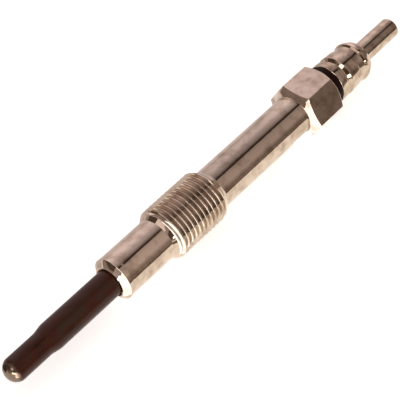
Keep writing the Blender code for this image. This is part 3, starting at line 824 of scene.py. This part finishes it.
@dataclass(frozen=True)
class NickelPlate(Finish):
    """Bright nickel, electroplated on turned steel: a warm mirror with soft clouds, with painted shade in the
    thread's grooves.
    """

    name: str = "nickel_plated_steel"
    slot: str = "plated_steel"
    metallic: float = 1.0
    shades: tuple[tuple[float, str], ...] = ((0.32, "#AD9A85"), (0.56, "#D2C1AC"))
    # Clouds of tarnish are 2 to 3 mm wide.
    patches: Pattern = Pattern(2.4, 4.0)
    # Pits and turning marks of about 0.05 mm would be too fine to show, so they are drawn this coarse.
    grain: Pattern = Pattern(0.55)
    roughness: tuple[float, float] = (0.035, 0.09)
    ripple: Pattern = Pattern(0.9, 2.0, 3.0)
    bare_metal_and_painted_shade: str = "#857A72"  # greyish painted shade in the thread's grooves
    groove: tuple[float, float] = (4.42, 4.62)  # radii between which the painted shade ends; the roots lie at 4.44 mm
    lead_in: tuple[float, float] = (36.2, 37.4)  # stations between which it starts
    run_out: tuple[float, float] = (47.6, 49.0)  # and between which it ends

    def lay_bare_metal_and_painted_shade(self, tree: Tree, shader: Node, place: Node) -> Optional[Node]:
        """Paints shade into the thread's grooves as a darker, greyer colour.

        Args:
            tree: The material's nodes.
            shader: The shader. It is not used.
            place: The place in millimetres.

        Returns:
            How much the painted shade covers.
        """
        # Painted shade: a darker greyish colour in the thread's roots, fading out at the lead-in and the
        # run-out.
        centred = add_node(
            tree,
            "ShaderNodeMapping",
            {},
            {"Vector": place, "Location": (0.0, 0.0, -AXIS_HEIGHT), "Scale": (0.0, 1.0, 1.0)},
        )
        radius = add_node(tree, "ShaderNodeVectorMath", {"operation": "LENGTH"}, {0: centred})
        along = add_node(tree, "ShaderNodeSeparateXYZ", {}, {"Vector": place}).outputs[Coordinate.ALONG.value]
        middle = TOTAL_LENGTH / 2
        share: Any = 1.0
        for value, (first, last), ends in (
            (radius.outputs["Value"], self.groove, (1.0, 0.0)),
            (along, (self.lead_in[0] - middle, self.lead_in[1] - middle), (0.0, 1.0)),
            (along, (self.run_out[0] - middle, self.run_out[1] - middle), (1.0, 0.0)),
        ):
            inputs = {"Value": value, "From Min": first, "From Max": last}
            inputs.update({"To Min": ends[0], "To Max": ends[1]})
            part = add_node(tree, "ShaderNodeMapRange", {}, inputs)
            share = add_node(tree, "ShaderNodeMath", {"operation": "MULTIPLY"}, {0: share, 1: part})
        return share


@dataclass(frozen=True)
class NickelCap(Finish):
    """Bright nickel on the turned cap, a little duller and browner from the plier marks of its crimping."""

    name: str = "nickel_plated_cap"
    slot: str = "plated_cap_steel"
    metallic: float = 1.0
    shades: tuple[tuple[float, str], ...] = ((0.36, "#A8937B"), (0.62, "#D0BEA7"))
    # Clouds of 1.6 mm. Pits of about 0.05 mm would be too fine to show, so they are drawn 0.45 mm wide.
    patches: Pattern = Pattern(1.6, 4.0)
    grain: Pattern = Pattern(0.45)
    roughness: tuple[float, float] = (0.05, 0.11)
    ripple: Pattern = Pattern(0.8, 2.0)


@dataclass(frozen=True)
class BurntOxide(Finish):
    """Nickel alloy under a burnt brown oxide skin: dark satin, redder in patches, bare grey at the tip."""

    name: str = "burnt_oxide_on_alloy"
    slot: str = "oxidised_alloy"
    ior: float = 1.36
    specular: float = 0.30
    shades: tuple[tuple[float, str], ...] = ((0.34, "#2A170D"), (0.52, "#462010"), (0.70, "#3B2D1F"))
    # Oxide patches are about 2 mm wide and drawn out by the swaging.
    patches: Pattern = Pattern(2.0, 4.0, 2.2)
    # The skin's own grain of about 0.02 mm would be too fine to show, so it is drawn this coarse.
    grain: Pattern = Pattern(0.5, 3.0, 3.0)
    roughness: tuple[float, float] = (0.20, 0.32)
    ripple: Pattern = Pattern(0.35, 3.0, 2.0)
    relief: float = 0.010
    bare_metal_and_painted_shade: str = "#8A7A68"  # bare alloy
    bare_end: tuple[float, float] = (0.75, 1.35)  # stations between which the skin begins
    bareness: float = 0.85
    polish: float = -0.16  # added to the roughness where the metal is bare

    def lay_bare_metal_and_painted_shade(self, tree: Tree, shader: Node, place: Node) -> Optional[Node]:
        """Bares the alloy at the welded tip: greyish, metallic and smoother.

        Args:
            tree: The material's nodes.
            shader: The shader.
            place: The place in millimetres.

        Returns:
            How bare the alloy is.
        """
        along = add_node(tree, "ShaderNodeSeparateXYZ", {}, {"Vector": place}).outputs[Coordinate.ALONG.value]
        first, last = (station - TOTAL_LENGTH / 2 for station in self.bare_end)
        inputs = {"Value": along, "From Min": first, "From Max": last, "To Min": self.bareness, "To Max": 0.0}
        at_tip = add_node(tree, "ShaderNodeMapRange", {}, inputs)
        tree.links.new(at_tip.outputs["Result"], shader.inputs["Metallic"])
        satin = shader.inputs["Roughness"]
        inputs = {0: at_tip, 1: self.polish, 2: satin.links[0].from_socket}
        gloss = add_node(tree, "ShaderNodeMath", {"operation": "MULTIPLY_ADD"}, inputs)
        tree.links.new(gloss.outputs[0], satin)
        return at_tip


@dataclass(frozen=True)
class BlackPolyamide(Finish):
    """Injection-moulded black polyamide, filled with glass: matt, brownish black, with a faint grain."""

    name: str = "black_polyamide"
    slot: str = "black_insulator"
    ior: float = 1.53
    specular: float = 0.06
    # Glass fibres of 0.01 by 0.3 mm are too thin to show, so the grain is as wide as they are long.
    shades: tuple[tuple[float, str], ...] = ((0.35, "#1C0A06"), (0.70, "#28130D"))
    grain_span: tuple[float, float] = (0.3, 0.7)
    roughness: tuple[float, float] = (0.42, 0.58)


def inner_finish(
    name: str,
    dark: str,
    pale: str,
    roughness: tuple[float, float] = (0.4, 0.6),
    metallic: float = 0.0,
    grain: float = 0.3,
    stretch: float = 1.0,
    relief: float = 0.005,
) -> Finish:
    """Describes a surface inside the plug, with one pattern for its shades, gloss and relief.

    Args:
        name: The real material and how its surface was made.
        dark: The darker sRGB shade.
        pale: The paler one.
        roughness: Roughness in the darker and the paler grains.
        metallic: 1 for bare metal.
        grain: Width of one grain in millimetres. Finer ones would not show in a cut.
        stretch: How much longer the grains are along the plug.
        relief: Height of the relief in millimetres.

    Returns:
        The finish.
    """
    pattern = Pattern(grain, 4.0, stretch)
    return Finish(
        name,
        metallic=metallic,
        shades=((0.32, dark), (0.68, pale)),
        patches=pattern,
        grain=pattern,
        grain_span=(0.3, 0.7),
        roughness=roughness,
        ripple=pattern,
        relief=relief,
    )


@dataclass
class InnerParts:
    """What the plug holds inside: the CAD solids stay, each with its own finish."""

    def finishes(self) -> dict[str, Finish]:
        """Names the finish of each inner node."""
        return {
            # Iron-chromium-aluminium wire has a dull grey alumina skin after its first heating.
            "heating_coil": inner_finish("fired_resistance_wire", "#5E5855", "#8C8580", metallic=1.0),
            # Nickel-iron wire keeps a brighter, slightly yellow drawn surface.
            "control_coil": inner_finish("drawn_nickel_wire", "#8E8478", "#B4AA9B", metallic=1.0),
            # Compacted magnesium oxide is a chalky white mass of fine grains.
            "magnesia_filling": inner_finish(
                "pressed_magnesia", "#D2CDBF", "#EDEAE0", (0.90, 0.98), grain=0.15, relief=0.02
            ),
            # Fluorocarbon rubber is moulded brown and slightly waxy.
            "tube_seal": inner_finish("brown_seal_rubber", "#4C2417", "#6E3A26", (0.55, 0.70)),
            # Bright drawn steel with fine lines along the rod.
            "terminal_stud": inner_finish(
                "drawn_bright_steel", "#8F8A85", "#B9B4AE", (0.22, 0.38), metallic=1.0, stretch=12.0
            ),
            # Hydrogenated nitrile rubber is moulded green and matt.
            "body_seal": inner_finish("green_seal_rubber", "#203A2A", "#33573F", (0.55, 0.72)),
        }

    def dress(self) -> None:
        """Gives every inner node its finish, in the slots that it has."""
        for node, finish in self.finishes().items():
            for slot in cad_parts[node].material_slots:
                slot.material = finish.material()
            log.info("%s: dressed in %s", node, finish.name)


# Studio


def hang_stage(name: str, shape: Shape, material: bpy.types.Material) -> None:
    """Makes a studio shape an object that only mirror reflections see.

    Args:
        name: Name of the object.
        shape: Its shape in metres. It is freed.
        material: Its surface.
    """
    made = new_object(name, shape, material)
    made.visible_camera = False
    made.visible_diffuse = False
    made.visible_transmission = False
    made.visible_volume_scatter = False
    made.visible_shadow = False


def glowing_material(name: str, colour: Triple, front_only: bool = False) -> bpy.types.Material:
    """Makes a material that glows evenly.

    Args:
        name: Name of the material.
        colour: Its linear colour, which may be brighter than white.
        front_only: Whether it is clear from behind.

    Returns:
        The material.
    """
    made = new_material(name)
    tree = made.node_tree
    surface = add_node(tree, "ShaderNodeEmission", {}, {"Color": (*colour, 1.0), "Strength": 1.0})
    if front_only:
        side = add_node(tree, "ShaderNodeNewGeometry").outputs["Backfacing"]
        clear = add_node(tree, "ShaderNodeBsdfTransparent")
        surface = add_node(tree, "ShaderNodeMixShader", {}, {0: side, 1: surface, 2: clear})
    add_node(tree, "ShaderNodeOutputMaterial", {}, {"Surface": surface})
    return made


@dataclass(frozen=True)
class Card:
    """A glowing or dark card of the studio, which only mirror reflections see.

    Args:
        name: Name of the card.
        direction: Where its middle hangs, seen from the aim.
        distance: How far off it hangs, in metres.
        size: Its width and height in metres.
        colour: Linear colour of its face.
        aim: The point that it faces, in metres.
        front_only: Whether it is seen from its face alone.
    """

    name: str
    direction: Triple
    distance: float
    size: tuple[float, float]
    colour: Triple
    aim: Triple = (0.0, 0.0, 0.005)
    front_only: bool = False

    def hang(self) -> None:
        """Hangs the card, its face to the aim."""
        away = Vector(self.direction).normalized()
        middle = Vector(self.aim) + away * self.distance
        shape = bmesh.new()
        bmesh.ops.create_grid(shape, x_segments=1, y_segments=1, size=0.5)
        turn = (-away).to_track_quat("Z", "Y").to_matrix().to_4x4()
        shape.transform(Matrix.Translation(middle) @ turn @ Matrix.Diagonal((*self.size, 1.0, 1.0)))
        hang_stage(self.name, shape, glowing_material(self.name, self.colour, self.front_only))


@dataclass(frozen=True)
class Flag:
    """A dim sheet of 1 m by 1 m on the floor, which ends the pale floor's reflection in the plug.

    Args:
        name: Name of the sheet.
        corner: The corner next to the plug, at the tip's end, in metres.
        turn: Angle of the edge next to the plug to its axis.
        far_side: Whether it lies behind the plug.
        colour: Linear colour of its face.
    """

    name: str
    corner: Triple
    turn: float
    far_side: bool
    colour: Triple

    def lay(self) -> None:
        """Lays the sheet on the floor."""
        shape = bmesh.new()
        bmesh.ops.create_grid(shape, x_segments=1, y_segments=1, size=0.5)
        bmesh.ops.translate(shape, verts=shape.verts[:], vec=(0.5, 0.5 if self.far_side else -0.5, 0.0))
        shape.transform(Matrix.Translation(self.corner) @ Matrix.Rotation(self.turn, 4, "Z"))
        hang_stage(self.name, shape, glowing_material(self.name, self.colour))


@dataclass
class LightTent:
    """A tunnel of white cloth round the plug that only its reflections see, bright behind and dim in front.

    The cloth's brightness follows the angle from straight up, turned towards the camera's side. In the plug's
    round pieces it draws the long pale and brown bands with a dark line between them, where the cloth has its
    seam.
    """

    radius: float = 0.45
    front: float = -0.04
    rear: float = 1.10
    sides: int = 48
    # Angle from straight up in degrees, positive to the camera's side, and the cloth's linear colour there.
    bands: tuple[tuple[float, Triple], ...] = (
        (-100.0, (0.70, 0.62, 0.64)),
        (-88.0, (0.68, 0.59, 0.61)),
        (-60.0, (0.92, 0.80, 0.87)),
        (-42.0, (0.92, 0.80, 0.87)),
        (-20.0, (0.54, 0.47, 0.51)),
        (-8.0, (0.42, 0.36, 0.39)),
        (2.0, (0.24, 0.19, 0.19)),
        (7.0, (0.045, 0.028, 0.020)),
        (14.0, (0.045, 0.028, 0.020)),
        (17.0, (0.38, 0.32, 0.31)),
        (34.0, (0.48, 0.39, 0.38)),
        (60.0, (0.51, 0.42, 0.41)),
        (73.0, (0.34, 0.27, 0.26)),
        (82.0, (0.24, 0.19, 0.17)),
        (100.0, (0.20, 0.150, 0.132)),
    )
    # Place along the tent in metres, and the share of its light behind the plug and in front of it.
    lengthwise: tuple[Triple, ...] = (
        (0.20, 1.12, 1.28),
        (0.24, 1.02, 1.10),
        (0.27, 0.83, 0.99),
        (0.31, 0.83, 0.89),
        (0.335, 1.18, 0.94),
        (0.36, 1.16, 0.92),
        (0.375, 1.02, 0.78),
        (0.395, 1.06, 0.62),
        (0.42, 1.14, 0.58),
        (0.435, 1.05, 0.70),
        (0.455, 1.00, 0.92),
        (0.50, 1.00, 0.92),
        (0.53, 1.40, 0.75),
        (0.76, 1.40, 0.70),
        (0.84, 1.00, 0.90),
    )
    strongest: float = 1.40
    seam: tuple[float, float] = (math.radians(2.0), math.radians(16.0))

    def cloth(self) -> bpy.types.Material:
        """Makes the glowing cloth. Its light follows the angle round the plug's axis and the place along it.

        Returns:
            The material.
        """
        made = new_material("tent_cloth")
        tree = made.node_tree
        where = add_node(tree, "ShaderNodeTexCoord").outputs["Object"]
        split = add_node(tree, "ShaderNodeSeparateXYZ", {}, {"Vector": where}).outputs
        inputs = {0: split[Coordinate.ACROSS.value], 1: -1.0}
        across = add_node(tree, "ShaderNodeMath", {"operation": "MULTIPLY"}, inputs)
        inputs = {0: split[Coordinate.UP.value], 1: AXIS_HEIGHT * MM}
        height = add_node(tree, "ShaderNodeMath", {"operation": "SUBTRACT"}, inputs)
        angle = add_node(tree, "ShaderNodeMath", {"operation": "ARCTAN2"}, {0: across, 1: height})
        first, last = (math.radians(self.bands[index][0]) for index in (0, -1))
        inputs = {"Value": angle, "From Min": first, "From Max": last}
        share = add_node(tree, "ShaderNodeMapRange", {}, inputs)
        stops = [((math.radians(turn) - first) / (last - first), (*glow, 1.0)) for turn, glow in self.bands]
        colour = add_node(tree, "ShaderNodeValToRGB", {}, {"Fac": share}, stops)
        first, last = (self.lengthwise[index][0] for index in (0, -1))
        inputs = {"Value": split[Coordinate.ALONG.value], "From Min": first, "From Max": last}
        along = add_node(tree, "ShaderNodeMapRange", {}, inputs)
        inputs = {"Value": angle, "From Min": self.seam[0], "From Max": self.seam[1]}
        in_front = add_node(tree, "ShaderNodeMapRange", {}, inputs)
        fade = add_node(tree, "ShaderNodeMix", {"data_type": "FLOAT"}, {0: in_front})
        for column in (1, 2):
            stops = []
            for row in self.lengthwise:
                grey = row[column] / self.strongest
                stops.append(((row[0] - first) / (last - first), (grey, grey, grey, 1.0)))
            steps = add_node(tree, "ShaderNodeValToRGB", {}, {"Fac": along}, stops)
            tree.links.new(steps.outputs["Color"], fade.inputs[column + 1])
        strength = add_node(tree, "ShaderNodeMath", {"operation": "MULTIPLY"}, {0: fade, 1: self.strongest})
        glow = add_node(tree, "ShaderNodeEmission", {}, {"Color": colour, "Strength": strength})
        add_node(tree, "ShaderNodeOutputMaterial", {}, {"Surface": glow})
        return made

    def build(self) -> None:
        """Hangs the tent over the plug."""
        shape = bmesh.new()
        start = shape.verts.new((self.front, self.radius, 0.0))
        end = shape.verts.new((self.rear, self.radius, 0.0))
        edge = shape.edges.new((start, end))
        bmesh.ops.spin(
            shape,
            geom=[start, end, edge],
            cent=(0.0, 0.0, AXIS_HEIGHT * MM),
            axis=(1.0, 0.0, 0.0),
            dvec=(0.0, 0.0, 0.0),
            angle=math.pi,
            steps=self.sides,
            use_merge=False,
            use_duplicate=False,
        )
        hang_stage("light_tent", shape, self.cloth())


@dataclass
class Studio:
    """The pale floor, the soft lights and the camera at the photograph's angle."""

    floor_half: float = 2.5
    floor_colour: str = "#F3F2F0"
    floor_roughness: float = 0.9
    floor_glow: float = 0.79
    fill_radiance: float = 0.30
    fill_size: float = 2.4
    fill_height: float = 1.2
    room_colour: Triple = (0.40, 0.33, 0.32)
    flags: tuple[Flag, ...] = (
        Flag("near_flag", (-0.050, -0.0187, 0.0006), math.radians(-13.8), False, (0.22, 0.16, 0.13)),
        Flag("far_flag", (-0.060, 0.008, 0.0006), 0.0, True, (0.78, 0.69, 0.70)),
    )
    tilt: float = math.radians(30.0)  # the camera leans this much towards the tip
    lean: float = math.radians(32.7)  # and this much down to the near side
    roll: float = math.radians(42.357)  # of the axis in the picture
    aim_station: float = 46.9  # mm from the tip
    aim_drop: float = 0.35  # pixels
    distance: float = 0.255
    focal_pixels: float = 1494.3
    frame_pixels: float = 400.0
    sensor: float = 36.0
    nearest: float = 0.01

    def cards(self) -> list[Card]:
        """Lists the studio's cards, each with what it draws in the plug's reflections.

        Returns:
            The cards.
        """
        white = (2.2, 2.3, 2.5)
        dark = (0.10, 0.070, 0.055)
        ahead = (-1.0, 0.0, 0.0)
        back = 0.60
        return [
            # Soft pinkish light high on the tip's side: in the upper part of the lead-in cone and the thread.
            Card("tip_side_panel", (-0.44, 0.03, 0.90), 0.50, (0.50, 0.24), (1.05, 0.92, 0.94)),
            # Dark walls behind the tip, paler low down: in the upper side of both cones.
            Card("dim_low_wall", ahead, back - 0.01, (1.20, 0.20), (0.33, 0.27, 0.25), (0.0, 0.69, 0.10)),
            Card("dark_side_wall", (-0.31, 0.95, 0.0), 0.62, (0.40, 0.50), dark, (0.0, 0.0, 0.42)),
            Card("dark_far_wall", ahead, back, (0.21, 0.68), dark, (0.0, 0.195, 0.34)),
            Card("dark_far_high_wall", ahead, back, (1.20, 1.20), dark, (0.0, 0.90, 0.60)),
            Card("dark_near_wall", ahead, back, (0.98, 0.40), dark, (0.0, -0.705, 0.355)),
            # A window between them, dim below its sill: the upper spots in the crimp groove and at the rim.
            Card("window", ahead, back, (0.275, 0.28), (3.6, 3.5, 3.5), (0.0, -0.0775, 0.52)),
            Card("window_sill", ahead, back, (0.21, 0.20), (0.52, 0.44, 0.48), (0.0, -0.015, 0.20)),
            # A low white wall on the near side: the lower spots, the cones' lower edges, the tip's spot.
            Card("white_wall", (-0.84, -0.54, 0.07), 0.55, (0.42, 0.15), (9.0, 8.6, 8.4)),
            # White reflectors close by, seen from the pin's side alone: the lower half of the seat cone, the
            # thread's turns and the hexagon's shoulder.
            Card("seat_reflector", ahead, 0.0, (0.0105, 0.012), white, (-0.0281, -0.00785, 0.006), True),
            Card("seat_low_reflector", ahead, 0.0, (0.0036, 0.0022), white, (-0.0281, -0.0008, 0.0011), True),
            Card("thread_reflector", ahead, 0.0, (0.0110, 0.0090), white, (-0.0153, -0.0065, 0.0050), True),
            Card("shoulder_reflector", ahead, 0.0, (0.0114, 0.0083), white, (0.0212, -0.0083, 0.00535), True),
            # A sheet on the floor below the shoulder, for its lowest part.
            Card(
                "shoulder_sheet", (0.0, -0.02, -1.0), 0.0, (0.0042, 0.0042), (2.6, 2.7, 3.1),
                (0.0214, -0.0017, 0.0001), True,
            ),
            # A patch over the tent's seam where the thread's narrow crests would show it.
            Card(
                "seam_patch", (0.0, -0.16, 0.987), 0.40, (0.029, 0.095), (0.32, 0.265, 0.26),
                (0.213, 0.0, 0.005),
            ),
            # A dark sheet and a white one beside the tip: the far side of its dome, and the end of its spot.
            Card(
                "tip_shade", (-0.60, 0.78, 0.10), 0.007, (0.0075, 0.006), (0.045, 0.030, 0.024),
                (-0.0507, 0.0010, 0.0045), True,
            ),
            Card(
                "tip_reflector", (-0.50, -0.85, -0.12), 0.007, (0.006, 0.006), (5.0, 5.0, 5.0),
                (-0.0507, -0.0012, 0.0045), True,
            ),
            # A dim wall beyond the pin: in the rolled rear end of the cap and the end of the pin.
            Card(
                "pin_end_wall", (1.0, 0.0, 0.0), 0.0, (0.017, 0.022), (0.26, 0.20, 0.18),
                (0.085, -0.0075, 0.008), True,
            ),
            # A brown and a pale screen on the far side: the shoulder's upper half.
            Card(
                "shoulder_screen", ahead, 0.0, (0.0072, 0.0025), (0.28, 0.22, 0.21),
                (0.0208, 0.0014, 0.00925), True,
            ),
            Card(
                "shoulder_far", ahead, 0.0, (0.0085, 0.0078), (1.15, 1.08, 1.16),
                (0.0208, 0.0082, 0.0039), True,
            ),
        ]

    def floor(self) -> None:
        """Lays a pale table of frosted acrylic with some light from below."""
        shape = bmesh.new()
        bmesh.ops.create_grid(shape, x_segments=1, y_segments=1, size=self.floor_half)
        made = new_material("frosted_acrylic")
        shade = linear(self.floor_colour)
        inputs = {
            "Base Color": shade,
            "Roughness": self.floor_roughness,
            "Specular IOR Level": 0.0,
            "Emission Color": shade,
            "Emission Strength": self.floor_glow,
        }
        shader = add_node(made.node_tree, "ShaderNodeBsdfPrincipled", {}, inputs)
        add_node(made.node_tree, "ShaderNodeOutputMaterial", {}, {"Surface": shader})
        floor = new_object("pale_floor", shape, made)

    def lights(self) -> None:
        """Hangs an even fill for floor and dull surfaces, which mirrors do not see, in a dim room."""
        data = bpy.data.lights.new("overhead_fill", "AREA")
        data.shape = "SQUARE"
        data.size = self.fill_size
        data.energy = self.fill_radiance * math.pi * self.fill_size * self.fill_size
        lamp = bpy.data.objects.new("overhead_fill", data)
        lamp.location = (0.0, 0.0, self.fill_height)
        lamp.visible_glossy = False
        lamp.visible_camera = False
        bpy.context.scene.collection.objects.link(lamp)
        world = bpy.data.worlds.new("dim_room")
        world.use_nodes = True
        background = world.node_tree.nodes["Background"]
        background.inputs["Color"].default_value = (*self.room_colour, 1.0)
        background.inputs["Strength"].default_value = 1.0
        bpy.context.scene.world = world
        bpy.context.scene.view_settings.view_transform = "Standard"

    def camera(self) -> None:
        """Sets the camera at the photograph's angle and distance."""
        sin, cos = math.sin, math.cos
        back = Vector((-sin(self.tilt), -cos(self.tilt) * sin(self.lean), cos(self.tilt) * cos(self.lean)))
        along = (Vector((1.0, 0.0, 0.0)) - back * back.x).normalized()
        side = back.cross(along)
        right = cos(self.roll) * along - sin(self.roll) * side
        up = back.cross(right)
        aim = Vector(((self.aim_station - TOTAL_LENGTH / 2) * MM, 0.0, AXIS_HEIGHT * MM))
        aim += side * (self.aim_drop / self.focal_pixels * self.distance)
        data = bpy.data.cameras.new("photo_camera")
        data.sensor_width = self.sensor
        data.lens = self.focal_pixels / self.frame_pixels * self.sensor
        data.clip_start = self.nearest
        camera = bpy.data.objects.new("photo_camera", data)
        matrix = Matrix((right, up, back)).transposed().to_4x4()
        matrix.translation = aim + back * self.distance
        camera.matrix_world = matrix
        bpy.context.scene.collection.objects.link(camera)
        bpy.context.scene.camera = camera

    def build(self) -> None:
        """Sets up floor, flags, tent, cards, lights and camera."""
        self.floor()
        for flag in self.flags:
            flag.lay()
        LightTent().build()
        for card in self.cards():
            card.hang()
        self.lights()
        self.camera()
        log.info("studio: floor, flags, tent, cards, lights and camera are set")


def main() -> None:
    """Builds the plug's pieces in order, then the studio."""
    logging.basicConfig(level=logging.INFO, format="%(name)s %(message)s")
    GlowTube().build()
    ThreadedBody().build()
    InsulatingWasher().build()
    TerminalCap().build()
    InnerParts().dress()
    Studio().build()


if __name__ == "__main__":
    main()
